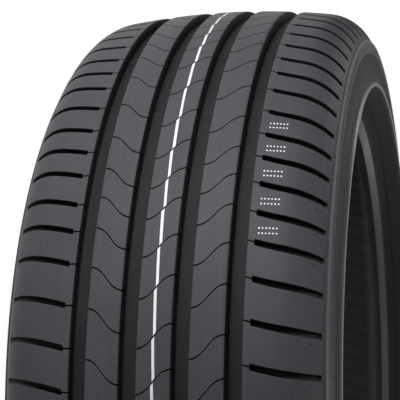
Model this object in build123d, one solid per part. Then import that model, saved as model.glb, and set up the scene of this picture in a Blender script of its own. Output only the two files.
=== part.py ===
from build123d import *
import math
import os

# Radial tyre for a passenger car, off its rim and lying on one sidewall. Lengths are millimetres, angles degrees.
# The axle is Z, and z = 0 is the middle of the section. A round stretch of the section is a few straight runs,
# because every run is turned into a face that goes right round the tyre.

# Size of the tyre and of the rim that it fits
OVERALL_DIAMETER = 637.0
SECTION_WIDTH = 230.0        # over the two rim guards
SEAT_DIAMETER = 462.0        # bead seat of an 18 inch rim
BEAD_SPREAD = 174.0          # over the outer ends of the two bead seats, as the tyre lies off its rim

# Crown, shoulder and sidewall
CROWN_RADIUS = 590.0         # of the tread arc, across the tread
CROWN_ARC_WIDTH = 162.0      # tread arc, shoulder to shoulder
CROWN_THICKNESS = 14.5       # tread, belts and liner together
CORNER_SHARES = (0.25, 0.75)  # where the shoulder's straight runs meet, as shares of the way along its arc
CORNER_STAND = 0.7           # how far those corners stand out from the arc, so that the runs cross it
RIDGE_SHARE = 0.66           # radial place of the ridge that ends the shoulder, as a share of the section height
RIDGE_STAND = 1.2            # how far the ridge stands out from the end of the shoulder arc
SIDEWALL_DRAW = 1.7          # the shoulder arc ends this far inside the foot of the guard
SIDEWALL_THICKNESS = 8.2
LINER_SHARE = 0.53           # radial place where the liner is widest, as a share of the section height
LINER_TURN = 30.0            # axial run of the bend between the crown and the side of the liner

# Rim guard and bead
GUARD_ABOVE_SEAT = 22.6      # middle of the guard's flat top, from the bead seat
GUARD_TOP = 2.6
GUARD_HEIGHT = 4.3           # how far the guard stands out from the sidewall
GUARD_OUTER_FLANK = 6.5      # radial length of the flank toward the tread
GUARD_INNER_FLANK = 6.0      # radial length of the flank toward the rim
FLANGE_RUN = 14.0            # axial run of the slope that takes the rim flange, up from the bead seat
BEAD_WIDTH = 8.0             # of the seat itself

# Ribs and grooves, from the middle of the pattern outwards
PATTERN_SHIFT = 1.3          # the pattern sits this far above the middle of the section
CENTRE_RIB = 22.8
SIDE_RIB = 22.6
INNER_GROOVE = 12.2
OUTER_GROOVE = 11.8
GROOVE_DEPTH = 7.8
GROOVE_DRAFT = 8.0           # lean of each groove wall

# Slots across the shoulders
SLOT_LAND = 4.5              # from the outer groove's edge to the slot's inner end
SLOT_WIDTH = 3.6
SLOT_DEPTH_INNER = 5.4
SLOT_DEPTH_CORNER = 6.4      # below the first corner of the shoulder, past which the slot runs out

# Pitch lengths, shuffled to spread the noise, in a sequence that repeats round the tyre
PITCH_ANGLES = {"S": 3.72, "M": 4.26, "L": 5.20}
PITCH_SEQUENCE = "LLLMSMSSMMSSMMMMS"
SEQUENCE_REPEATS = 5
FIRST_SLOT = -126.65         # place round the axle where the sequence starts
UPPER_LEAD = 0.62            # upper slots lead the lower ones by this share of a pitch

outer_r = OVERALL_DIAMETER / 2
seat_r = SEAT_DIAMETER / 2
section_height = outer_r - seat_r
half_width = SECTION_WIDTH / 2
side_z = half_width - GUARD_HEIGHT
crown_z = CROWN_ARC_WIDTH / 2
bead_z = BEAD_SPREAD / 2
guard_r = seat_r + GUARD_ABOVE_SEAT
ridge_r = seat_r + RIDGE_SHARE * section_height
ridge_z = side_z - SIDEWALL_DRAW
liner_r = outer_r - CROWN_THICKNESS
liner_z = side_z - SIDEWALL_THICKNESS
inner_middle = (CENTRE_RIB + INNER_GROOVE) / 2
outer_middle = CENTRE_RIB / 2 + INNER_GROOVE + SIDE_RIB + OUTER_GROOVE / 2
slot_start = outer_middle + OUTER_GROOVE / 2 + SLOT_LAND


def crown_r(z):
    """Distance of the tread arc from the axle, at height z."""
    return outer_r - CROWN_RADIUS + math.sqrt(CROWN_RADIUS ** 2 - z ** 2)


def off_shoulder(share, stand):
    """Point that stands so far out from the shoulder arc, at a share of the way along it.

    The arc leaves the tread arc smoothly and ends at the ridge.
    """
    slope = (-crown_z, math.sqrt(CROWN_RADIUS ** 2 - crown_z ** 2))
    arc = TangentArc((crown_r(crown_z), crown_z), (ridge_r, ridge_z), tangent=slope)
    along = arc % share
    return arc @ share + Vector(along.Y, -along.X) * stand


def outer_side():
    """Upper half of the outside, from the middle of the crown to the toe of the bead.

    The crown has one straight run for each rib, and its corners lie in the grooves.
    """
    return [
        (outer_r, 0),
        (outer_r, inner_middle),
        (crown_r(outer_middle), outer_middle),
        *[off_shoulder(share, CORNER_STAND) for share in CORNER_SHARES],
        off_shoulder(1, RIDGE_STAND),
        (guard_r + GUARD_TOP / 2 + GUARD_OUTER_FLANK, side_z),
        (guard_r + GUARD_TOP / 2, half_width),
        (guard_r - GUARD_TOP / 2, half_width),
        (guard_r - GUARD_TOP / 2 - GUARD_INNER_FLANK, bead_z + FLANGE_RUN),
        (seat_r, bead_z),
        (seat_r, bead_z - BEAD_WIDTH),
    ]


def liner_side():
    """Upper half of the inside, from the back of the bead to the middle of the crown."""
    return [
        (seat_r + LINER_SHARE * section_height, liner_z),
        (liner_r, liner_z - LINER_TURN),
        (liner_r, 0),
    ]


def groove_section(middle_z, width):
    """What a groove takes out of the section: a trapezium that is open past the crown."""
    lean = math.tan(math.radians(GROOVE_DRAFT)) * GROOVE_DEPTH
    top_r = crown_r(middle_z)
    return make_face(Polyline(
        (top_r - GROOVE_DEPTH, middle_z - width / 2 + lean),
        (top_r - GROOVE_DEPTH, middle_z + width / 2 - lean),
        (top_r + GROOVE_DEPTH, middle_z + width / 2 + lean),
        (top_r + GROOVE_DEPTH, middle_z - width / 2 - lean),
        close=True,
    ))


def tyre_section():
    """Whole section: two halves, with the four grooves taken out."""
    half = make_face(Polyline(*outer_side(), *liner_side(), close=True))
    section = half + mirror(half, Plane.XZ)
    for side in (1, -1):
        section -= groove_section(PATTERN_SHIFT + side * inner_middle, INNER_GROOVE)
        section -= groove_section(PATTERN_SHIFT + side * outer_middle, OUTER_GROOVE)
    return section


def slot_cutter(start_z):
    """One shoulder slot at azimuth 0 on the upper side, from start_z outwards, with a flat floor and radial walls."""
    corner = off_shoulder(CORNER_SHARES[0], CORNER_STAND - SLOT_DEPTH_CORNER)
    start = Vector(crown_r(start_z) - SLOT_DEPTH_INNER, start_z)
    end = start + (corner - start) * ((half_width - start_z) / (corner.Y - start_z))
    clear_r = outer_r + SLOT_WIDTH
    profile = make_face(Polyline(start, end, (clear_r, half_width), (clear_r, start_z), close=True))
    cutter = extrude(Plane.XZ * profile, SLOT_WIDTH, both=True)
    for side in (1, -1):
        edge = Vector(outer_r, side * SLOT_WIDTH / 2, 0)
        wall = Plane(origin=edge, x_dir=(0, 0, 1), z_dir=(-SLOT_WIDTH / 2, side * outer_r, 0))
        cutter = split(cutter, bisect_by=wall, keep=Keep.BOTTOM)
    return cutter


def pitch_places():
    """Start angle and length of each pitch round the tyre, scaled so that the sequences close the circle."""
    lengths = [PITCH_ANGLES[letter] for letter in PITCH_SEQUENCE] * SEQUENCE_REPEATS
    scale = 360 / sum(lengths)
    place = FIRST_SLOT
    for length in lengths:
        yield place, length * scale
        place -= length * scale


def tread_slots():
    """Slots of both shoulders: the lower ones are the upper slot turned half round about the X axis."""
    upper = slot_cutter(slot_start + PATTERN_SHIFT)
    lower = slot_cutter(slot_start - PATTERN_SHIFT).rotate(Axis.X, 180)
    slots = []
    for place, length in pitch_places():
        slots.append(lower.rotate(Axis.Z, place))
        slots.append(upper.rotate(Axis.Z, place - UPPER_LEAD * length))
    return slots


tyre = revolve(Plane.XZ * tyre_section(), Axis.Z)
tyre -= tread_slots()

os.makedirs("parts", exist_ok=True)
export_step(tyre, "parts/tyre.step")
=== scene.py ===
"""Looks of a car tyre that lies on its sidewall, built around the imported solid.

The axle is Z. A place on the tyre is a section place, written as the complex number r + z*1j in millimetres
(r from the axle, z along it), and an angle round the axle in radians.
"""

import bpy
import numpy as np
from mathutils import Matrix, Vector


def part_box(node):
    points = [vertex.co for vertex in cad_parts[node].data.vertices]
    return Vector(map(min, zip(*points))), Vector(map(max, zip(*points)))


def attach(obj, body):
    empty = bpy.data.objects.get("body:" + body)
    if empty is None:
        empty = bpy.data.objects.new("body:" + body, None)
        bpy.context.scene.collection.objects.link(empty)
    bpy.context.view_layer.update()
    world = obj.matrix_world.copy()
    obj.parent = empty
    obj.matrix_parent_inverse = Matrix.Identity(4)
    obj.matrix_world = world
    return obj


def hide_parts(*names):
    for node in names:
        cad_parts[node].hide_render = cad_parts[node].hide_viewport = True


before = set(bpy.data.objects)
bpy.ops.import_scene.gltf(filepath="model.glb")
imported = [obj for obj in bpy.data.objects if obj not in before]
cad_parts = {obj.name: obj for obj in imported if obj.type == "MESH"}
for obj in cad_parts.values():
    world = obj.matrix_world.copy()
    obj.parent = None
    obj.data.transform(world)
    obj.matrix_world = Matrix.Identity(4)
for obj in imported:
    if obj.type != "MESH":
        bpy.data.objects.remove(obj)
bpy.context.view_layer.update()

MM = 0.001
LOW, HIGH = (np.array(corner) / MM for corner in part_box("tyre"))

# Section, from the crown outwards
PAINT = 0.12
OUTER_R = min(*HIGH[:2], *-LOW[:2]) - PAINT
HALF_WIDTH = min(HIGH[2], -LOW[2])
CROWN_RADIUS = 590.0
CROWN_END = 81.0
RIDGE = 288.8 + 109.0j
RIDGE_RISE = 1.2
RIDGE_TOP = 0.9
RIDGE_FOOT = 2.2
BAND_START = 285.6 + 109.9j
BAND_END = 280.6 + 110.4j
LIP = (279.9 + 110.8j, 279.1 + 110.8j, 278.4 + 110.5j)
GUARD_FOOT = 259.9 + 110.7j
GUARD_TOP_OUTER = 254.9 + HALF_WIDTH * 1j
GUARD_TOP_INNER = 252.3 + HALF_WIDTH * 1j
CLINCH = (247.2 + 104.6j, 244.6 + 99.4j, 240.2 + 94.4j, 236.6 + 92.8j)
HEEL = 231.0 + 87.0j
TOE = 231.0 + 79.0j
LINER_WIDEST = 277.4 + 102.5j
LINER_SHOULDER = 304.0 + 72.5j
LINER_MIDDLE = 304.0 + 0.0j
LIP_ROUND = 0.3
GUARD_FOOT_ROUND = 2.6
GUARD_TOP_ROUND = 0.9
CLINCH_ROUND = 4.0
CLINCH_END_ROUND = 2.0
HEEL_ROUND = 2.4
TOE_ROUND = 1.2
WIDEST_ROUND = 14.0
LINER_ROUND = 24.0
RIDGE_EASE = 0.75

# Points on the arc of a corner, by its radius, and numbers of rings and lines
SMALL_ROUND = 0.5
SMALL_ROUND_POINTS = 3
ROUND_POINTS = 5
EDGE_TURNS = (90, 38, 0)
RIB_RINGS = 13
SLOT_RUN_RINGS = 5
SHOULDER_RINGS = 9
SIDE_LINES = 208
FILL_LINES = 2

# Ribs and grooves across the tread
PATTERN_SHIFT = 1.3
CENTRE_RIB = 22.8
SIDE_RIB = 22.6
INNER_GROOVE = 12.2
OUTER_GROOVE = 11.8
GROOVE_DEPTH = 7.8
GROOVE_LEAN = np.tan(np.radians(8.0))
EDGE_ROUND = 0.6
FLOOR_ROUND = 1.8
FLOOR_GAP = 1.0

# Sipes of the three ribs
SIPE_PITCHES = {"S": 4.274, "M": 5.13, "L": 6.03}
SIPE_SEQUENCE = "LMMSSMLLMSSMLM"
FIRST_SIPE = -130.6
CENTRE_LEAD = 0.2
SIPE_SWEEP = 3.0
SIPE_CURL = 0.7
SIPE_HALF_WIDTH = 0.56
SIPE_DEPTH = 5.5

# Slots of the two shoulders
SLOT_PITCHES = {"S": 3.72, "M": 4.26, "L": 5.20}
SLOT_SEQUENCE = "LLLMSMSSMMSSMMMMS"
FIRST_SLOT = -126.65
UPPER_LEAD = 0.62
SEQUENCE_REPEATS = 5
SLOT_LAND = 4.5
SLOT_END_SHARE = {1: 0.86, -1: 0.72}
SLOT_SWEEP = {1: 1.22, -1: 1.3}
SLOT_BEND = {1: 1.0, -1: 0.9}
SLOT_HALF_WIDTHS = {1: (2.2, 2.5, 2.4), -1: (2.0, 2.1, 2.0)}
SLOT_DEPTHS = {1: (6.4, 6.0, 2.2), -1: (6.4, 5.2, 1.2)}
SLOT_CHAMFER = 2.3
# Rate along a slot at which its far wall turns from painted shade to painted highlight
SLOT_PALING = 2.2
JOIN_REACH = {1: -0.1, -1: 0.0}
SLOT_ROUND = 0.4
SLOT_STEP = 0.22
JOIN_EDGE = 2.5
JOIN_FLOOR = 0.5

# Painted shade of the groove walls: the drops where it starts and is full, and how dark it is then
WALL_SHADE_START = 0.2
WALL_SHADE_FULL = 2.0
WALL_SHADE = 0.72

# Paint line of the centre rib and rows of paint dots on the upper shoulder
LINE_Z = 1.25
LINE_HALF_WIDTH = 0.87
LINE_SLANT = 1.0
LINE_GAP = 0.75
LINE_RINGS = 8
LINE_TOP_SHARE = 0.8
LINE_EDGE_SHARE = 0.4
LINE_SPREAD = (0.9, 1.08)
LINE_SEED = 7
DOT_RADIUS = 0.62
DOT_ROWS = (66.2, 68.5, 70.8, 73.1, 75.4, 77.7)
DOT_BLOCKS = (-164.0, -143.0)
DOT_SPREAD = 1.9
DOT_SHARE = 0.62
DOT_TOP_SHARE = 0.6
DOT_EDGE_SHARE = 0.5

# Wear bars and mould seams in the grooves, vent pips on the shoulders
WEAR_BARS = 6
WEAR_BAR_AT = -179.4
WEAR_BAR_LENGTH = 10.6
WEAR_BAR_HEIGHT = 1.2
BAR_TOP_REACH = 0.36
SEAMS = 9
SEAM_AT = -165.6
SEAM_LENGTH = 0.9
SEAM_HEIGHT = 0.35
SUNK = 0.3
PIP_SHARE = 0.6
PIP_RADIUS = 0.5
PIP_HEIGHT = 0.3
PIP_TOP_SHARE = 0.7
PIP_SCATTER = 0.5
PIP_SEED = 3
STUD_CORNERS = 8

# Numbers of the three finishes in the body's list of materials
TREAD, SIDES, GROOVES = range(3)

# Finishes
RIB_DARK = (0.063, 0.062, 0.071)
RIB_LIGHT = (0.077, 0.0755, 0.086)
RIB_SPECK = (0.1, 0.099, 0.108)
# Painted shade down in the cuts and on the groove walls
CUT_SHADE_BLACK = (0.004, 0.004, 0.0045)
# Painted highlight on the slots' far walls
FAR_WALL_HIGHLIGHT_GREY = (0.042, 0.0415, 0.047)
# Grooves' rubber, painted darker than the tread's face: painted shade
GROOVE_SHADE_DARK = (0.019, 0.0188, 0.0205)
GROOVE_SHADE_PALE = (0.0235, 0.0233, 0.025)
# Seams' rubber, painted paler than the grooves' as a painted highlight on their tops
SEAM_HIGHLIGHT_DARK = (0.046, 0.0455, 0.048)
SEAM_HIGHLIGHT_PALE = (0.054, 0.0535, 0.056)
SIDE_DARK = (0.037, 0.0362, 0.045)
SIDE_LIGHT = (0.044, 0.043, 0.052)
# The knurled band's own tone, also on the guard's foot as a weaker painted highlight
BAND_GREY_AND_FOOT_HIGHLIGHT = (0.057, 0.056, 0.065)
# Painted highlight on the ridge's top
RIDGE_HIGHLIGHT_GREY = (0.125, 0.123, 0.136)
# Painted highlight on the guard's top
GUARD_HIGHLIGHT_GREY = (0.42, 0.415, 0.43)
# Painted highlight on the guard's upper flank
FLANK_HIGHLIGHT_GREY = (0.067, 0.066, 0.073)
# Painted highlight on the bead's heel and toe
BEAD_HIGHLIGHT_GREY = (0.05, 0.0495, 0.054)
# Painted shade in the hollow under the flange slope, and partly on the slope
HOLLOW_SHADE_BLACK = (0.014, 0.014, 0.015)
LINER_GREY = (0.054, 0.054, 0.056)
LINER_BLACK = (0.012, 0.012, 0.0125)
PAINT_WHITE = (0.93, 0.93, 0.92)
PAINT_THIN = (0.74, 0.74, 0.74)
KNURL_LINES = 1100.0
SERRATION_LINES = 360.0
LINER_STRIPES = 130.0
LINER_SLANT = 0.15

# Where the tones, painted highlights and painted shade of the sides fade into each other,
# in millimetres: distances from the axle
RIDGE_R = (286.6, 287.4)
BAND_R = (278.2, 279.4)
LINER_R = (262.0, 266.0)
FOOT_OUTER_R = (259.5, 261.0)
FOOT_INNER_R = (256.0, 257.0)
FLANK_R = (253.0, 254.0)
FLANGE_R = (250.6, 252.2)
HOLLOW_OUTER_R = (244.6, 246.6)
HOLLOW_INNER_R = (236.6, 237.8)
HEEL_R = (235.8, 237.0)
TOE_R = (232.5, 234.0)

# The same for heights above or below the middle of the section
GUARD_Z = (114.4, 114.85)
FLANK_Z = (113.2, 113.8)
FOOT_Z = (108.0, 110.0)
OUTSIDE_Z = (104.0, 106.0)
FLANGE_Z = (98.0, 100.0)
HOLLOW_Z = (88.0, 90.0)
HEEL_Z = (86.4, 88.0)
TOE_UPPER_Z = (80.2, 81.4)
INSIDE_Z = (78.0, 79.0)
TOE_LOWER_Z = (77.6, 78.8)

# Floor and light
FLOOR_WHITE = (0.7, 0.7, 0.7)
FLOOR_SEEN = (0.3, 0.3, 0.3)
FLOOR_GLOW = 0.93
FLOOR_REACH = 8.0
WORLD_FILL = 0.03

# Camera: lens and sensor in millimetres, place in metres, directions
CAMERA_LENS = 128.5
CAMERA_SENSOR = 36.0
CAMERA_PLACE = (-0.7373, -0.9570, 0.2472)
CAMERA_FORWARD = (0.4858, 0.8423, -0.2338)
CAMERA_UP = (-0.8639, 0.5035, 0.0188)

# Lamps: place in metres, width and height in metres, watts
LAMPS = {
    "key": ((-0.706, -0.222, 0.01), (0.4, 0.2), 1.98),
    "top": ((0.0, -0.24, 2.39), (3.0, 3.0), 27.0),
    "back": ((-0.19, 2.1, 1.4), (1.2, 0.8), 7.5),
    "low": ((1.71, 0.91, 1.41), (0.8, 0.5), 8.5),
}


def crown(z):
    """Distance of the tread arc from the axle at the height z.

    It is the outer radius less the curve radius, plus the root of the curve radius squared less z squared.
    """
    return OUTER_R - CROWN_RADIUS + np.sqrt(CROWN_RADIUS ** 2 - z ** 2)


def arc(start, heading, end, shares):
    """Places on the circle that leaves start along heading and passes end.

    The chord makes the angle swing with the heading. At a share u of the arc the chord so far has the
    length of the whole chord times sin(u swing) / sin(swing), and it points along heading plus u swing.
    """
    chord = end - start
    swing = np.angle(chord * np.exp(-1j * heading))
    run = np.abs(chord) * np.sin(swing * shares) / np.sin(swing)
    return start + run * np.exp(1j * (heading + swing * shares))


def arc_headings(start, heading, end, shares):
    """Heading at each share of that arc: the first heading plus twice the swing times the share."""
    swing = np.angle((end - start) * np.exp(-1j * heading))
    return heading + 2 * swing * shares


def rounded(corners, radii):
    """A run of straight stretches whose inner corners are arcs of the given radii.

    Large arcs have more points. Each arc starts on one side of its corner and ends on the other, at a
    distance of the radius times tan(half the turn).
    """
    places = [corners[:1]]
    for before, corner, after, radius in zip(corners, corners[1:], corners[2:], radii):
        along = (corner - before) / abs(corner - before)
        onward = (after - corner) / abs(after - corner)
        reach = radius * np.tan(abs(np.angle(onward / along)) / 2)
        shares = np.linspace(0, 1, ROUND_POINTS if radius > SMALL_ROUND else SMALL_ROUND_POINTS)
        places.append(arc(corner - along * reach, np.angle(along), corner + onward * reach, shares))
    places.append(corners[-1:])
    return np.concatenate([np.atleast_1d(np.array(p, complex)) for p in places])


def pitch_angles(pitches, sequence, first, lead):
    """Sorted angles of the cuts round the tyre: running sums of the pitches, less a lead in pitches."""
    lengths = np.tile([pitches[letter] for letter in sequence], SEQUENCE_REPEATS)
    lengths = lengths * 360 / lengths.sum()
    starts = first - np.cumsum(lengths) + lengths
    return np.sort(np.radians(starts - lead * lengths) % (2 * np.pi))


def cut_lines(places, cuts, fills):
    """Angles of the lines round the tyre.

    A few share each cut's angle, and fills are spread from there up to the next cut. Returns the
    angle of each line and the number of the cut line that it is, or -1 for a fill.
    """
    gaps = np.diff(np.append(places, places[0] + 2 * np.pi))
    shares = np.concatenate([np.zeros(cuts), np.arange(1, fills + 1) / (fills + 1)])
    angles = places[:, None] + gaps[:, None] * shares
    kinds = np.concatenate([np.arange(cuts), np.full(fills, -1)])
    return angles.ravel(), np.tile(kinds, len(places))


def groove_side():
    """Half a groove, from the rib's top to near the middle of the floor: distance past the edge, and drop.

    A quarter circle rounds the edge and another the foot of the wall. The wall leans by the drop times the
    tangent of its draft.
    """
    turn = np.radians(EDGE_TURNS)
    over = np.concatenate([EDGE_ROUND * (np.cos(turn) - 1), FLOOR_ROUND * (1 - np.sin(turn))])
    floor_drop = GROOVE_DEPTH - FLOOR_ROUND * (1 - np.cos(turn))
    drop = np.concatenate([EDGE_ROUND * (1 - np.sin(turn)), floor_drop])
    return over + drop * GROOVE_LEAN, drop


def groove_rings(edge, side, width):
    """Heights and drops of the rings down one side of a groove whose edge is at the height edge."""
    over, drop = groove_side()
    over = np.append(over, width / 2 - FLOOR_GAP)
    return edge + side * over, np.append(drop, GROOVE_DEPTH)


def spun(places, angles):
    """Points in metres of section places turned to angles, as a grid of rings by lines."""
    radius = np.broadcast_to(places.real, angles.shape)
    height = np.broadcast_to(places.imag, angles.shape)
    return np.stack([radius * np.cos(angles), radius * np.sin(angles), height], axis=-1) * MM


def sipe_shear(z, low_edge, high_edge, sweep):
    """Angle that a sipe has gained at the height z: the sweep times u - curl sin(2 pi u) / (2 pi).

    Here u goes from 0 at the rib's low edge to 1 at its high one.
    """
    u = np.clip((z - low_edge) / (high_edge - low_edge), 0, 1)
    return np.radians(sweep) * (u - SIPE_CURL * np.sin(2 * np.pi * u) / (2 * np.pi))


def finish_numbers(depth, drop):
    """Finish of each face of a zone: that of the grooves where its corners lie deep on average."""
    deep = depth + drop[:, None]
    onward = np.roll(deep, -1, axis=1)
    mean = (deep[1:] + deep[:-1] + onward[1:] + onward[:-1]) / 4
    return np.where(mean > EDGE_ROUND, GROOVES, TREAD)


def wall_shade(drop):
    """Painted shade of a groove's wall for its drop: it deepens down the wall and ends at the floor."""
    drops = [WALL_SHADE_START, WALL_SHADE_FULL, GROOVE_DEPTH - FLOOR_ROUND, GROOVE_DEPTH]
    return np.interp(drop, drops, [0, WALL_SHADE, WALL_SHADE, 0])


def rib_zone(low_edge, high_edge, widths, places, sweep):
    """A rib with its half grooves: rings across, lines that follow the sipes.

    A sipe is a V cut whose floor is its middle line. Like the other zones, this gives the points, the
    painted shade of each point, which is the depth of a cut there plus the painted shade of a wall, and the
    finish of each face.
    """
    low_z, low_drop = groove_rings(low_edge, -1, widths[0])
    high_z, high_drop = groove_rings(high_edge, 1, widths[1])
    top_z = np.linspace(low_edge + EDGE_ROUND, high_edge - EDGE_ROUND, RIB_RINGS)[1:-1]
    z = np.concatenate([low_z[::-1], top_z, high_z])
    drop = np.concatenate([low_drop[::-1], np.zeros(len(top_z)), high_drop])
    shear = sipe_shear(z, low_edge, high_edge, sweep)
    lines, kinds = cut_lines(places, 3, FILL_LINES)
    offsets = np.array([-SIPE_HALF_WIDTH, 0, SIPE_HALF_WIDTH, 0])[kinds]
    wanted = np.array([0, SIPE_DEPTH, 0, 0])[kinds]
    depth = np.maximum(0, wanted[None, :] - drop[:, None])
    angles = lines[None, :] + shear[:, None] + offsets[None, :] / OUTER_R
    grid = spun((crown(z) - drop)[:, None] - depth + 1j * z[:, None], angles)
    return grid, depth + wall_shade(drop)[:, None], finish_numbers(depth, drop)


SHOULDER_START = crown(CROWN_END) + CROWN_END * 1j
SHOULDER_HEADING = np.pi / 2 + np.arcsin(CROWN_END / CROWN_RADIUS)


def shoulder_arc(shares):
    """Section places and outward directions along the arc from the tread to the ridge."""
    headings = arc_headings(SHOULDER_START, SHOULDER_HEADING, RIDGE, shares)
    return arc(SHOULDER_START, SHOULDER_HEADING, RIDGE, shares), -1j * np.exp(1j * headings)


def shoulder_length():
    """Length of that arc: its chord times swing over sin(swing)."""
    chord = RIDGE - SHOULDER_START
    swing = np.angle(chord * np.exp(-1j * SHOULDER_HEADING))
    return abs(chord) * swing / np.sin(swing)


def shoulder_path(groove_edge, end_share):
    """Rings of the upper shoulder from the outer groove to past the ridge.

    A pair lies at each end of the slots. Returns section places, outward directions, drops below the tread,
    distances along the tread face, and the distances where the slots start, bend and end.
    """
    groove_z, groove_drop = groove_rings(groove_edge, -1, OUTER_GROOVE)
    start_z = groove_edge + SLOT_LAND
    start_pair = start_z + SLOT_STEP * np.array([-1, 1])
    run_z = np.linspace(start_pair[1], CROWN_END, SLOT_RUN_RINGS)[1:-1]
    z = np.concatenate([groove_z[::-1], [(groove_edge + start_z) / 2], start_pair, run_z])
    drop = np.concatenate([groove_drop[::-1], np.zeros(3 + len(run_z))])
    crown_out = np.exp(1j * np.arcsin(z / CROWN_RADIUS))
    length = shoulder_length()
    end_step = SLOT_STEP / length
    shares = np.concatenate([
        np.linspace(0, end_share - end_step, SHOULDER_RINGS),
        [end_share + end_step, (1 + end_share) / 2 - RIDGE_FOOT / length / 2, 1 - RIDGE_FOOT / length],
    ])
    arc_places, arc_out = shoulder_arc(shares)
    end_along = 1j * shoulder_arc(1.0)[1]
    half_way = (RIDGE_TOP + RIDGE_FOOT) / 2
    runs = np.array([-half_way, -RIDGE_TOP, RIDGE_TOP, half_way, RIDGE_FOOT])
    rises = RIDGE_RISE * np.array([RIDGE_EASE, 1, 1, RIDGE_EASE, 0])
    ridge_places = RIDGE + end_along * (runs - 1j * rises)
    places = np.concatenate([crown(z) - drop + 1j * z, arc_places, ridge_places])
    out = np.concatenate([crown_out, arc_out, np.full(len(runs), -1j * end_along)])
    drops = np.concatenate([drop, np.zeros(len(shares) + len(runs))])
    along = np.concatenate([z, CROWN_END + shares * length, CROWN_END + length + runs])
    return places, out, drops, along, (start_z, CROWN_END, CROWN_END + end_share * length)


def shoulder_zone(side):
    """A shoulder with its slots: rings outwards from the outer groove, lines that follow the slots.

    Along a slot u goes from 0 to 1, its angle changes by the sweep times u + bend u (1 - u), and its half
    width and depth are read off straight lines between the named values. Its far wall leans more and more
    outwards, by the chamfer times u, and its painted shade gives way along the slot to a painted highlight
    that makes it paler. Short of the slot a thin sipe joins it to the groove and keeps to the slot's curve
    as far as the join reach. Six lines shape a cut: two where it starts, two on its rounded edges, two on
    its floor. The ridge is in the finish of the sides.
    """
    edge = CENTRE_RIB / 2 + INNER_GROOVE + SIDE_RIB + OUTER_GROOVE + side * PATTERN_SHIFT
    places, out, drop, along, (start, bend, end) = shoulder_path(edge, SLOT_END_SHARE[side])
    u = np.clip((along - start) / (end - start), JOIN_REACH[side], 1)
    shear = side * np.radians(SLOT_SWEEP[side]) * (u + SLOT_BEND[side] * u * (1 - u))
    u = np.maximum(u, 0)
    half = np.interp(u, [0, 0.5, 1], SLOT_HALF_WIDTHS[side])
    floor = np.interp(along, [start, bend, end], SLOT_DEPTHS[side])
    in_sipe = along < start
    past_end = along > end
    floor = np.where(in_sipe, SIPE_DEPTH, np.where(past_end, 0, floor))
    first = np.where(in_sipe, JOIN_EDGE * SIPE_HALF_WIDTH, half + SLOT_ROUND)
    second = np.where(in_sipe, SIPE_HALF_WIDTH, half)
    third = np.where(in_sipe, JOIN_FLOOR * SIPE_HALF_WIDTH, half - SLOT_ROUND)
    chamfered = third - np.where(in_sipe, 0, SLOT_CHAMFER * u)
    rounding = np.where(in_sipe | past_end, 0, SLOT_ROUND / 2)
    zero = np.zeros(len(along))
    offsets = np.stack([-first, -second, -third, chamfered, second, first, zero], axis=1)
    wanted = np.stack([zero, rounding, floor, floor, rounding, zero, zero], axis=1)
    lead = UPPER_LEAD if side == 1 else 0.0
    slots = pitch_angles(SLOT_PITCHES, SLOT_SEQUENCE, FIRST_SLOT, lead)
    lines, kinds = cut_lines(slots, 6, FILL_LINES)
    depth = np.maximum(0, wanted[:, kinds] - drop[:, None])
    angles = lines[None, :] + shear[:, None] + offsets[:, kinds] / OUTER_R
    grid = places[:, None] - depth * out[:, None]
    # Far wall: painted shade near the slot's start, below 0 further along, which gives a painted highlight
    far_wall = (floor * (1 - SLOT_PALING * u))[:, None] * ~(in_sipe | past_end)[:, None]
    on_far_wall = (kinds == 3) | (kinds == 4)
    cut_shade = np.where(on_far_wall, far_wall, depth)
    shade = np.where(in_sipe[:, None], depth, cut_shade) + wall_shade(drop)[:, None]
    numbers = finish_numbers(depth, drop)
    numbers[along[1:] > CROWN_END + shoulder_length() - RIDGE_FOOT / 2] = SIDES
    if side == -1:
        return spun(np.conj(grid), angles)[::-1], shade[::-1], numbers[::-1]
    return spun(grid, angles), shade, numbers


def side_path():
    """Rings of the upper side: sidewall, guard, flange slope, heel, toe and liner."""
    corners = [BAND_START, BAND_END, *LIP, GUARD_FOOT, GUARD_TOP_OUTER, GUARD_TOP_INNER, *CLINCH, HEEL, TOE,
               LINER_WIDEST, LINER_SHOULDER, LINER_MIDDLE]
    band_radii = [LIP_ROUND] * (1 + len(LIP))
    guard_radii = [GUARD_FOOT_ROUND, GUARD_TOP_ROUND, GUARD_TOP_ROUND]
    clinch_radii = [CLINCH_ROUND] * (len(CLINCH) - 1) + [CLINCH_END_ROUND]
    inner_radii = [HEEL_ROUND, TOE_ROUND, WIDEST_ROUND, LINER_ROUND]
    return rounded(corners, band_radii + guard_radii + clinch_radii + inner_radii)


def side_zone():
    """Both sides and the liner, as one plain turned surface from the upper ridge round to the lower one."""
    upper = side_path()
    places = np.concatenate([upper, np.conj(upper[-2::-1])])
    angles = np.linspace(0, 2 * np.pi, SIDE_LINES, endpoint=False)
    grid = spun(places[:, None] + 0j, np.broadcast_to(angles, (len(places), SIDE_LINES)))
    return grid, np.zeros(grid.shape[:2]), np.full((len(places) - 1, SIDE_LINES), SIDES)


def grid_quads(rings, lines, start):
    """Corner numbers of a grid that closes on itself along its lines, with outward faces."""
    ring, line = np.meshgrid(np.arange(rings - 1), np.arange(lines), indexing="ij")
    onward = (line + 1) % lines
    here, beyond = ring * lines, (ring + 1) * lines
    corners = [here + line, here + onward, beyond + onward, beyond + line]
    return start + np.stack(corners, axis=-1).reshape(-1, 4)


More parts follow.
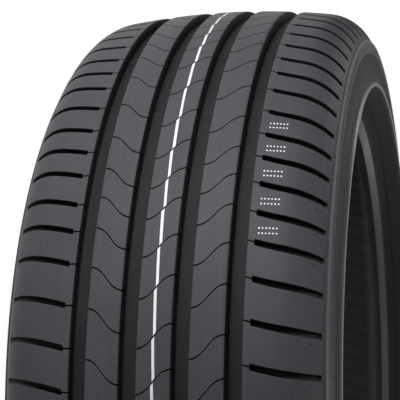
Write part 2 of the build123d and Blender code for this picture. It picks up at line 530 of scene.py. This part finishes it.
def zipper(first, first_ring, second, second_ring):
    """Triangles between two rings with different numbers of points.

    The points of both rings are put in one order by angle. Each joins the one before it on its own ring to
    the latest one on the other ring.
    """
    angles = [np.arctan2(ring[:, 1], ring[:, 0]) for ring in (first, second)]
    orders = [np.argsort(a) for a in angles]
    counts = [len(order) for order in orders]
    which = np.repeat([0, 1], counts)
    merged = np.argsort(np.concatenate([a[o] for a, o in zip(angles, orders)]), kind="stable")
    which = which[merged]
    reached = [np.cumsum(which == number) - 1 for number in (0, 1)]
    now = [(ring + order)[at % count] for ring, order, at, count
           in zip((first_ring, second_ring), orders, reached, counts)]
    before = [(ring + order)[(at - 1) % count] for ring, order, at, count
              in zip((first_ring, second_ring), orders, reached, counts)]
    on_first = np.stack([before[0], now[0], now[1]], axis=1)[which == 0]
    on_second = np.stack([now[0], now[1], before[1]], axis=1)[which == 1]
    return np.concatenate([on_first, on_second])


def new_piece(name, points, faces, materials, material_numbers=None, smooth_angle=None):
    """A mesh object from points in metres and arrays of faces, each with its own number of corners."""
    sizes = np.concatenate([np.full(len(f), f.shape[1]) for f in faces])
    corners = np.concatenate([f.ravel() for f in faces])
    mesh = bpy.data.meshes.new(name)
    mesh.vertices.add(len(points))
    mesh.vertices.foreach_set("co", np.asarray(points, np.float32).ravel())
    mesh.loops.add(len(corners))
    mesh.loops.foreach_set("vertex_index", corners.astype(np.int32))
    mesh.polygons.add(len(sizes))
    mesh.polygons.foreach_set("loop_start", (np.cumsum(sizes) - sizes).astype(np.int32))
    for material in materials:
        mesh.materials.append(material)
    if material_numbers is not None:
        mesh.polygons.foreach_set("material_index", material_numbers.astype(np.int32))
    mesh.update(calc_edges=True)
    mesh.validate()
    if smooth_angle is not None:
        mesh.polygons.foreach_set("use_smooth", np.ones(len(sizes), bool))
        mesh.set_sharp_from_angle(angle=np.radians(smooth_angle))
    piece = bpy.data.objects.new(name, mesh)
    bpy.context.scene.collection.objects.link(piece)
    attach(piece, "root")
    return piece


def tyre_body(materials):
    """The whole tyre as one closed surface.

    Its zones lie in order round the section and are zipped together at their ends. The materials are
    those of the tread's face, of the sides and of the grooves.
    """
    centre = PATTERN_SHIFT + CENTRE_RIB / 2 * np.array([-1, 1])
    upper = PATTERN_SHIFT + CENTRE_RIB / 2 + INNER_GROOVE + np.array([0, SIDE_RIB])
    lower = PATTERN_SHIFT - CENTRE_RIB / 2 - INNER_GROOVE - np.array([SIDE_RIB, 0])
    side_places = pitch_angles(SIPE_PITCHES, SIPE_SEQUENCE, FIRST_SIPE, 0.0)
    centre_places = pitch_angles(SIPE_PITCHES, SIPE_SEQUENCE, FIRST_SIPE, CENTRE_LEAD)
    zones = [
        shoulder_zone(-1),
        rib_zone(*lower, (OUTER_GROOVE, INNER_GROOVE), side_places, SIPE_SWEEP),
        rib_zone(*centre, (INNER_GROOVE, INNER_GROOVE), centre_places, -SIPE_SWEEP),
        rib_zone(*upper, (INNER_GROOVE, OUTER_GROOVE), side_places, -SIPE_SWEEP),
        shoulder_zone(1),
        side_zone(),
    ]
    shades = np.concatenate([shade.ravel() for grid, shade, numbers in zones])
    finishes = [numbers.ravel() for grid, shade, numbers in zones]
    zones = [grid for grid, shade, numbers in zones]
    starts = np.cumsum([0] + [zone.shape[0] * zone.shape[1] for zone in zones])
    quads = [grid_quads(zone.shape[0], zone.shape[1], start) for zone, start in zip(zones, starts)]
    strips = []
    for number, zone in enumerate(zones):
        following = (number + 1) % len(zones)
        last_ring = starts[number] + (zone.shape[0] - 1) * zone.shape[1]
        strips.append(zipper(zone[-1], last_ring, zones[following][0], starts[following]))
    points = np.concatenate([zone.reshape(-1, 3) for zone in zones])
    strip_numbers = [GROOVES, GROOVES, GROOVES, GROOVES, SIDES, SIDES]
    finishes += [np.full(len(strip), number) for strip, number in zip(strips, strip_numbers)]
    numbers = np.concatenate(finishes)
    piece = new_piece("tyre_body", points, quads + strips, materials, numbers, smooth_angle=24)
    shade = piece.data.attributes.new("shade", "FLOAT", "POINT")
    shade.data.foreach_set("value", shades.astype(np.float32))
    return piece


def tube_faces(tubes, rings, corners):
    """Faces of closed tubes: quads between the rings of each, and a flat face at each end."""
    starts = np.arange(tubes)[:, None] * rings * corners
    sides = grid_quads(rings, corners, 0)
    first = starts + np.arange(corners)[::-1]
    last = starts + (rings - 1) * corners + np.arange(corners)
    return [(starts[:, :, None] + sides).reshape(-1, 4), first, last]


def floor_bars(name, count, at, length, height, material):
    """Low bars with sloped ends across the floors of the four grooves, count of them round the tyre."""
    inner = CENTRE_RIB / 2 + INNER_GROOVE / 2
    outer = CENTRE_RIB / 2 + INNER_GROOVE + SIDE_RIB + OUTER_GROOVE / 2
    middles = PATTERN_SHIFT + np.array([-outer, -inner, inner, outer])
    widths = np.array([OUTER_GROOVE, INNER_GROOVE, INNER_GROOVE, OUTER_GROOVE])
    halves = widths / 2 - GROOVE_LEAN * GROOVE_DEPTH + SUNK
    spots = np.radians(at + 360 / count * np.arange(count))
    along = np.array([-0.5, -BAR_TOP_REACH, BAR_TOP_REACH, 0.5]) * length / OUTER_R
    rises = np.array([-SUNK / 2, height, height, -SUNK / 2])
    across = np.array([1, 1, -1, -1])
    lifted = np.array([0, 1, 1, 0])
    z = middles[:, None] + halves[:, None] * across
    rise = np.where(lifted, rises[:, None], -SUNK)
    radius = crown(middles)[:, None, None] - GROOVE_DEPTH + rise
    places = (radius + 1j * z[:, None, :])[None]
    places = np.broadcast_to(places, (count, *places.shape[1:]))
    angles = np.broadcast_to((spots[:, None] + along)[:, None, :, None], places.shape)
    points = spun(places, angles).reshape(-1, 3)
    faces = tube_faces(count * len(middles), len(along), len(across))
    return new_piece(name, points, faces, [material])


def centre_line(material):
    """Paint line round the centre rib, broken and set back a little at each sipe.

    One stretch runs from sipe to sipe. Its ends follow the sipes, and it climbs by the slant on the way.
    """
    sipes = pitch_angles(SIPE_PITCHES, SIPE_SEQUENCE, FIRST_SIPE, CENTRE_LEAD)
    following = np.append(sipes[1:], sipes[0] + 2 * np.pi)
    shares = np.linspace(0, 1, LINE_RINGS)
    across = np.array([1, 1, LINE_TOP_SHARE, -LINE_TOP_SHARE, -1, -1])
    edge = LINE_EDGE_SHARE * PAINT
    rises = np.array([-SUNK, edge, PAINT, PAINT, edge, -SUNK])
    spread = np.random.default_rng(LINE_SEED).uniform(*LINE_SPREAD, (len(sipes), 1, 1))
    z = LINE_Z + LINE_SLANT * (shares[None, :, None] - 0.5) + LINE_HALF_WIDTH * spread * across
    edges = PATTERN_SHIFT + CENTRE_RIB / 2 * np.array([-1, 1])
    shear = sipe_shear(z, *edges, -SIPE_SWEEP)
    start = sipes[:, None, None] + LINE_GAP / OUTER_R
    end = following[:, None, None] - LINE_GAP / OUTER_R
    angles = shear + start + (end - start) * shares[None, :, None]
    points = spun(crown(z) + rises + 1j * z, angles).reshape(-1, 3)
    faces = tube_faces(len(sipes), len(shares), len(across))
    return new_piece("centre_line", points, faces, [material], smooth_angle=30)


def studs(name, angles, places, out, radii, heights, material):
    """Small round studs: rings of the given radii and heights about the outward direction at each place."""
    turns = np.linspace(0, 2 * np.pi, STUD_CORNERS, endpoint=False)
    sideways = np.array(radii)[:, None] * np.cos(turns)
    upward = np.array(radii)[:, None] * np.sin(turns)
    out = np.asarray(out)[:, None, None]
    grid = np.asarray(places)[:, None, None] + out * (np.array(heights)[:, None] + 1j * upward)
    points = spun(grid, np.asarray(angles)[:, None, None] + sideways / OUTER_R).reshape(-1, 3)
    faces = tube_faces(len(places), len(radii), len(turns))
    return new_piece(name, points, faces, [material], smooth_angle=50)


def dot_marks(material):
    """Two short rows of paint dots on each block in a stretch of the upper shoulder."""
    slots = pitch_angles(SLOT_PITCHES, SLOT_SEQUENCE, FIRST_SLOT, UPPER_LEAD)
    middles = slots + DOT_SHARE * np.diff(np.append(slots, slots[0] + 2 * np.pi))
    low, high = np.radians(DOT_BLOCKS) % (2 * np.pi)
    chosen = middles[(middles > low) & (middles < high)]
    z, spot, side = np.meshgrid(DOT_ROWS, chosen, [-1, 1], indexing="ij")
    z, angles = z.ravel(), (spot + side * DOT_SPREAD / OUTER_R).ravel()
    out = np.exp(1j * np.arcsin(z / CROWN_RADIUS))
    radii = (DOT_RADIUS, DOT_RADIUS, DOT_TOP_SHARE * DOT_RADIUS)
    heights = (-SUNK, DOT_EDGE_SHARE * PAINT, PAINT)
    return studs("dot_marks", angles, crown(z) + 1j * z, out, radii, heights, material)


def vent_pips(material):
    """Cut-off vent pips, one part of the way down each shoulder block on both sides."""
    place, out = shoulder_arc(PIP_SHARE)
    scatter = np.random.default_rng(PIP_SEED)
    upper = pitch_angles(SLOT_PITCHES, SLOT_SEQUENCE, FIRST_SLOT, UPPER_LEAD)
    lower = pitch_angles(SLOT_PITCHES, SLOT_SEQUENCE, FIRST_SLOT, 0.0)
    angles = np.concatenate([upper, lower])
    middle = np.radians(360 / len(upper) / 2 + scatter.uniform(-PIP_SCATTER, PIP_SCATTER, len(angles)))
    sides = np.repeat([1, -1], len(upper))
    places = place.real + 1j * sides * place.imag
    outs = out.real + 1j * sides * out.imag
    radii = (PIP_RADIUS, PIP_RADIUS, PIP_TOP_SHARE * PIP_RADIUS)
    heights = (-SUNK, PIP_TOP_SHARE * PIP_HEIGHT, PIP_HEIGHT)
    return studs("vent_pips", angles + middle, places, outs, radii, heights, material)


class Wire:
    """One output of a material's nodes. Arithmetic on it adds Math nodes."""

    def __init__(self, tree, socket=None):
        self.tree = tree
        self.socket = socket

    def node(self, kind, settings=None, inputs=None, output=0):
        """Adds a node, with settings and the values or links of its inputs, and gives one output."""
        made = self.tree.nodes.new("ShaderNode" + kind)
        for key, value in (settings or {}).items():
            setattr(made, key, value)
        for key, value in (inputs or {}).items():
            if isinstance(value, Wire):
                self.tree.links.new(value.socket, made.inputs[key])
            else:
                made.inputs[key].default_value = value
        return Wire(self.tree, made.outputs[output])

    def math(self, operation, *values):
        """A Math node on this value and others."""
        return self.node("Math", {"operation": operation}, dict(enumerate((self, *values))))

    def __add__(self, other):
        return self.math("ADD", other)

    __radd__ = __add__

    def __mul__(self, other):
        return self.math("MULTIPLY", other)

    __rmul__ = __mul__

    def __rsub__(self, other):
        return self * -1 + other

    def __pow__(self, other):
        return self.math("POWER", other)

    def step(self, start, end):
        """0 below start and 1 above end, smooth in between."""
        return self.node("MapRange", {"interpolation_type": "SMOOTHSTEP"}, {0: self, 1: start, 2: end})


def new_material(name):
    """A material with one principled shader, and a Wire to build on."""
    material = bpy.data.materials.new(name)
    material.use_nodes = True
    shader = material.node_tree.nodes["Principled BSDF"]
    return material, shader, Wire(material.node_tree)


def feed(shader, wires):
    """Links wires to the shader's inputs, and sets plain values on them."""
    for name, value in wires.items():
        if isinstance(value, Wire):
            value.tree.links.new(value.socket, shader.inputs[name])
        else:
            shader.inputs[name].default_value = value


def tyre_place(wire, place):
    """Distance from the axle in millimetres, angle round it in radians and height in millimetres."""
    split = wire.node("SeparateXYZ", None, {0: place})
    x, y, z = (Wire(wire.tree, split.socket.node.outputs[axis]) for axis in "XYZ")
    return (x * x + y * y) ** 0.5 * (1 / MM), y.math("ARCTAN2", x), z * (1 / MM)


def blend(wire, factor, first, second):
    """Colour between two others, given as colours or wires."""
    first, second = (c if isinstance(c, Wire) else (*c, 1) for c in (first, second))
    return wire.node("Mix", {"data_type": "RGBA"}, {"Factor": factor, "A": first, "B": second}, output=2)


def tread_rubber():
    """Satin black rubber of the tread's face, with faint streaks round the tyre and fine specks."""
    material, shader, wire = new_material("tread_rubber")
    place = wire.node("TexCoord", output="Object")
    stretched = wire.node("Mapping", None, {"Vector": place, "Scale": (18.0, 18.0, 420.0)})
    streak = wire.node("TexNoise", None, {"Vector": stretched, "Scale": 1.0, "Detail": 3.0})
    cloud = wire.node("TexNoise", None, {"Vector": place, "Scale": 16.0, "Detail": 4.0, "Roughness": 0.55})
    speck = wire.node("TexNoise", None, {"Vector": place, "Scale": 420.0, "Detail": 3.0, "Roughness": 0.7})
    grain = wire.node("TexNoise", None, {"Vector": place, "Scale": 1100.0, "Detail": 2.0})
    face = blend(wire, (cloud * 0.6 + streak * 0.4).step(0.34, 0.66), RIB_DARK, RIB_LIGHT)
    colour = blend(wire, speck.step(0.62, 0.8) * 0.35, face, RIB_SPECK)
    bump = wire.node("Bump", None, {"Strength": 0.2, "Distance": 0.0003, "Height": grain + speck * 0.6})
    feed(shader, {"Base Color": colour, "Roughness": cloud * 0.12 + 0.44, "Specular IOR Level": 0.15})
    feed(shader, {"Normal": bump})
    return material


def groove_rubber(name, dark, light):
    """Dull rubber of the groove floors and the bars on them, in the two colours given, blacker on walls and
    down in the cuts by painted shade.

    Where the shade is below 0, on the far walls of the slots, it is painted paler as a painted highlight.
    """
    material, shader, wire = new_material(name)
    place = wire.node("TexCoord", output="Object")
    cloud = wire.node("TexNoise", None, {"Vector": place, "Scale": 60.0, "Detail": 4.0})
    grain = wire.node("TexNoise", None, {"Vector": place, "Scale": 900.0, "Detail": 2.0})
    shade = wire.node("Attribute", {"attribute_name": "shade"}, output="Fac")
    colour = blend(wire, cloud.step(0.3, 0.7), dark, light)
    # Painted shade: blacker on the walls, and the deeper down a cut the blacker
    colour = blend(wire, shade.step(0.1, 0.9), colour, CUT_SHADE_BLACK)
    # Painted highlight: paler where the shade is below 0, on the slots' far walls
    colour = blend(wire, (shade * -1).step(0.0, 2.0), colour, FAR_WALL_HIGHLIGHT_GREY)
    bump = wire.node("Bump", None, {"Strength": 0.2, "Distance": 0.0003, "Height": grain})
    feed(shader, {"Base Color": colour, "Roughness": cloud * 0.1 + 0.62, "Specular IOR Level": 0.15})
    feed(shader, {"Normal": bump})
    return material


def side_rubber():
    """Satin rubber of the sidewalls, beads and liner, in tones that change with the distance from the axle.

    A knurled band lies inside the ridge, whose top is painted lighter as a painted highlight. The guard's
    top is painted pale, a painted highlight. Its outer flank is glossy above and dull at the foot, and is
    painted lighter than the sidewall as a painted highlight, most above the foot. The flange slope and the
    hollow below it are dull and painted dark, as painted shade. The bead's heel and toe are painted
    lighter, as a painted highlight. The liner has slanted stripes.
    """
    material, shader, wire = new_material("side_rubber")
    place = wire.node("TexCoord", output="Object")
    radius, turn, height = tyre_place(wire, place)
    level = height.math("ABSOLUTE")
    cloud = wire.node("TexNoise", None, {"Vector": place, "Scale": 22.0, "Detail": 4.0})
    grain = wire.node("TexNoise", None, {"Vector": place, "Scale": 800.0, "Detail": 2.0})
    band = radius.step(*BAND_R) * level.step(*OUTSIDE_Z)
    ridge = radius.step(*RIDGE_R)
    guard = level.step(*GUARD_Z)
    flank = level.step(*FLANK_Z) * radius.step(*FLANK_R)
    foot = radius.step(*FOOT_INNER_R) * (1 - radius.step(*FOOT_OUTER_R)) * level.step(*FOOT_Z)
    hollow = radius.step(*HOLLOW_INNER_R) * (1 - radius.step(*HOLLOW_OUTER_R)) * level.step(*HOLLOW_Z)
    flange = radius.step(*HOLLOW_OUTER_R) * (1 - radius.step(*FLANGE_R)) * level.step(*FLANGE_Z)
    heel = level.step(*HEEL_Z) * (1 - radius.step(*HEEL_R))
    toe = level.step(*TOE_LOWER_Z) * (1 - level.step(*TOE_UPPER_Z)) * (1 - radius.step(*TOE_R))
    far_in = radius.step(*LINER_R) * (1 - level.step(*OUTSIDE_Z))
    inside = (1 - level.step(*INSIDE_Z)).math("MAXIMUM", far_in)
    stripe = (turn * LINER_STRIPES + height * LINER_SLANT).math("SINE").step(-0.1, 0.7)
    liner = blend(wire, stripe, LINER_GREY, LINER_BLACK)
    knurl = (turn * KNURL_LINES).math("SINE") * band
    serration = (turn * SERRATION_LINES).math("SINE") * guard
    colour = blend(wire, cloud.step(0.3, 0.7), SIDE_DARK, SIDE_LIGHT)
    # The knurled band's own tone, and the ridge's top painted lighter: a painted highlight
    colour = blend(wire, band, colour, blend(wire, ridge, BAND_GREY_AND_FOOT_HIGHLIGHT, RIDGE_HIGHLIGHT_GREY))
    # Guard's flank painted lighter than the sidewall, most above the foot: painted highlight
    colour = blend(wire, foot, colour, BAND_GREY_AND_FOOT_HIGHLIGHT)
    colour = blend(wire, flank, colour, FLANK_HIGHLIGHT_GREY)
    # Guard's top painted pale, a painted highlight broken up by the serration
    colour = blend(wire, guard * (serration.step(-0.4, 0.4) * 0.3 + 0.7), colour, GUARD_HIGHLIGHT_GREY)
    # Hollow and, partly, the flange slope painted dark: painted shade
    colour = blend(wire, hollow + flange * 0.3, colour, HOLLOW_SHADE_BLACK)
    # Bead's heel and toe painted lighter: painted highlight
    colour = blend(wire, heel.math("MAXIMUM", toe), colour, BEAD_HIGHLIGHT_GREY)
    colour = blend(wire, inside, colour, liner)
    relief = grain * 0.3 + knurl * 0.6 + serration * 0.5
    bump = wire.node("Bump", None, {"Strength": 0.35, "Distance": 0.0004, "Height": relief})
    dull = (hollow + flange) * 0.35 + foot * 0.18 + flank * -0.18
    feed(shader, {"Base Color": colour, "Roughness": cloud * 0.12 + dull + 0.44, "Normal": bump})
    return material


def marking_paint():
    """Matte white marking paint, a little thin in spots."""
    material, shader, wire = new_material("marking_paint")
    place = wire.node("TexCoord", output="Object")
    thin = wire.node("TexNoise", None, {"Vector": place, "Scale": 260.0, "Detail": 4.0, "Roughness": 0.7})
    colour = blend(wire, thin.step(0.58, 0.85), PAINT_WHITE, PAINT_THIN)
    feed(shader, {"Base Color": colour, "Roughness": thin * 0.2 + 0.5})
    return material


def seen_rays(wire):
    """1 for rays from the camera, from gloss and through glass, and 0 for light that falls on the tyre."""
    camera, gloss, glass = (wire.node("LightPath", output=name)
                            for name in ("Is Camera Ray", "Is Glossy Ray", "Is Transmission Ray"))
    return camera.math("MAXIMUM", gloss).math("MAXIMUM", glass)


def surround():
    """A weak even light from all round."""
    world = bpy.data.worlds.new("surround")
    world.use_nodes = True
    bpy.context.scene.world = world
    background = world.node_tree.nodes["Background"]
    background.inputs["Color"].default_value = (1, 1, 1, 1)
    background.inputs["Strength"].default_value = WORLD_FILL


def floor():
    """White floor under the tyre. The camera sees it lifted to white, with the tyre's shadow left on it."""
    mesh = bpy.data.meshes.new("floor")
    reach = np.array([-1, 1]) * FLOOR_REACH
    level = LOW[2] * MM
    corners = [(reach[0], reach[0], level), (reach[1], reach[0], level), (reach[1], reach[1], level),
               (reach[0], reach[1], level)]
    mesh.from_pydata(corners, [], [(0, 1, 2, 3)])
    piece = bpy.data.objects.new("floor", mesh)
    bpy.context.scene.collection.objects.link(piece)
    material, shader, wire = new_material("floor_white")
    tree = material.node_tree
    feed(shader, {"Base Color": (*FLOOR_WHITE, 1), "Roughness": 0.9})
    plain = Wire(tree, shader.outputs[0])
    glow = wire.node("Emission", None, {"Color": (1, 1, 1, 1), "Strength": FLOOR_GLOW})
    shaded = wire.node("BsdfDiffuse", None, {"Color": (*FLOOR_SEEN, 1)})
    lifted = wire.node("AddShader", None, {0: glow, 1: shaded})
    mixed = wire.node("MixShader", None, {0: seen_rays(wire), 1: plain, 2: lifted})
    tree.links.new(mixed.socket, tree.nodes["Material Output"].inputs["Surface"])
    mesh.materials.append(material)


def lamp(name, place, size, watts):
    """A soft lamp at a place, aimed at the middle of the tyre."""
    light = bpy.data.lights.new(name, "AREA")
    light.energy = watts
    light.shape = "RECTANGLE"
    light.size, light.size_y = size
    piece = bpy.data.objects.new(name, light)
    aim(piece, np.array(place), np.zeros(3), np.array([0, 0, 1]))
    bpy.context.scene.collection.objects.link(piece)


def aim(thing, place, target, up):
    """Puts a lamp or camera at a place, looking at a target with up above it."""
    back = place - target
    back = back / np.linalg.norm(back)
    right = np.cross(up, back)
    right = right / np.linalg.norm(right)
    matrix = np.eye(4)
    matrix[:3, 0], matrix[:3, 1], matrix[:3, 2], matrix[:3, 3] = right, np.cross(back, right), back, place
    thing.matrix_world = Matrix(matrix.tolist())


def photo_camera():
    """The photograph's camera: near the tread, turned so that the tyre stands upright in the picture."""
    camera = bpy.data.objects.new("camera", bpy.data.cameras.new("camera"))
    camera.data.lens = CAMERA_LENS
    camera.data.sensor_width = CAMERA_SENSOR
    place = np.array(CAMERA_PLACE)
    aim(camera, place, place + np.array(CAMERA_FORWARD), np.array(CAMERA_UP))
    bpy.context.scene.collection.objects.link(camera)
    bpy.context.scene.camera = camera


# Grooves' rubber, also on the wear bars and pips, painted darker than the tread: painted shade
black = groove_rubber("groove_rubber", GROOVE_SHADE_DARK, GROOVE_SHADE_PALE)
# Seams' rubber, painted paler: a painted highlight on their tops
seam_highlight_rubber = groove_rubber("seam_rubber_painted_highlight", SEAM_HIGHLIGHT_DARK, SEAM_HIGHLIGHT_PALE)
body = tyre_body([tread_rubber(), side_rubber(), black])
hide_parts("tyre")
rubber_bits = [
    floor_bars("wear_bars", WEAR_BARS, WEAR_BAR_AT, WEAR_BAR_LENGTH, WEAR_BAR_HEIGHT, black),
    floor_bars("mould_seams", SEAMS, SEAM_AT, SEAM_LENGTH, SEAM_HEIGHT, seam_highlight_rubber),
    vent_pips(black),
]
paint = marking_paint()
for piece in (centre_line(paint), dot_marks(paint)):
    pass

bpy.context.scene.view_settings.view_transform = "Standard"
surround()
floor()
for name, settings in LAMPS.items():
    lamp(name, *settings)
photo_camera()
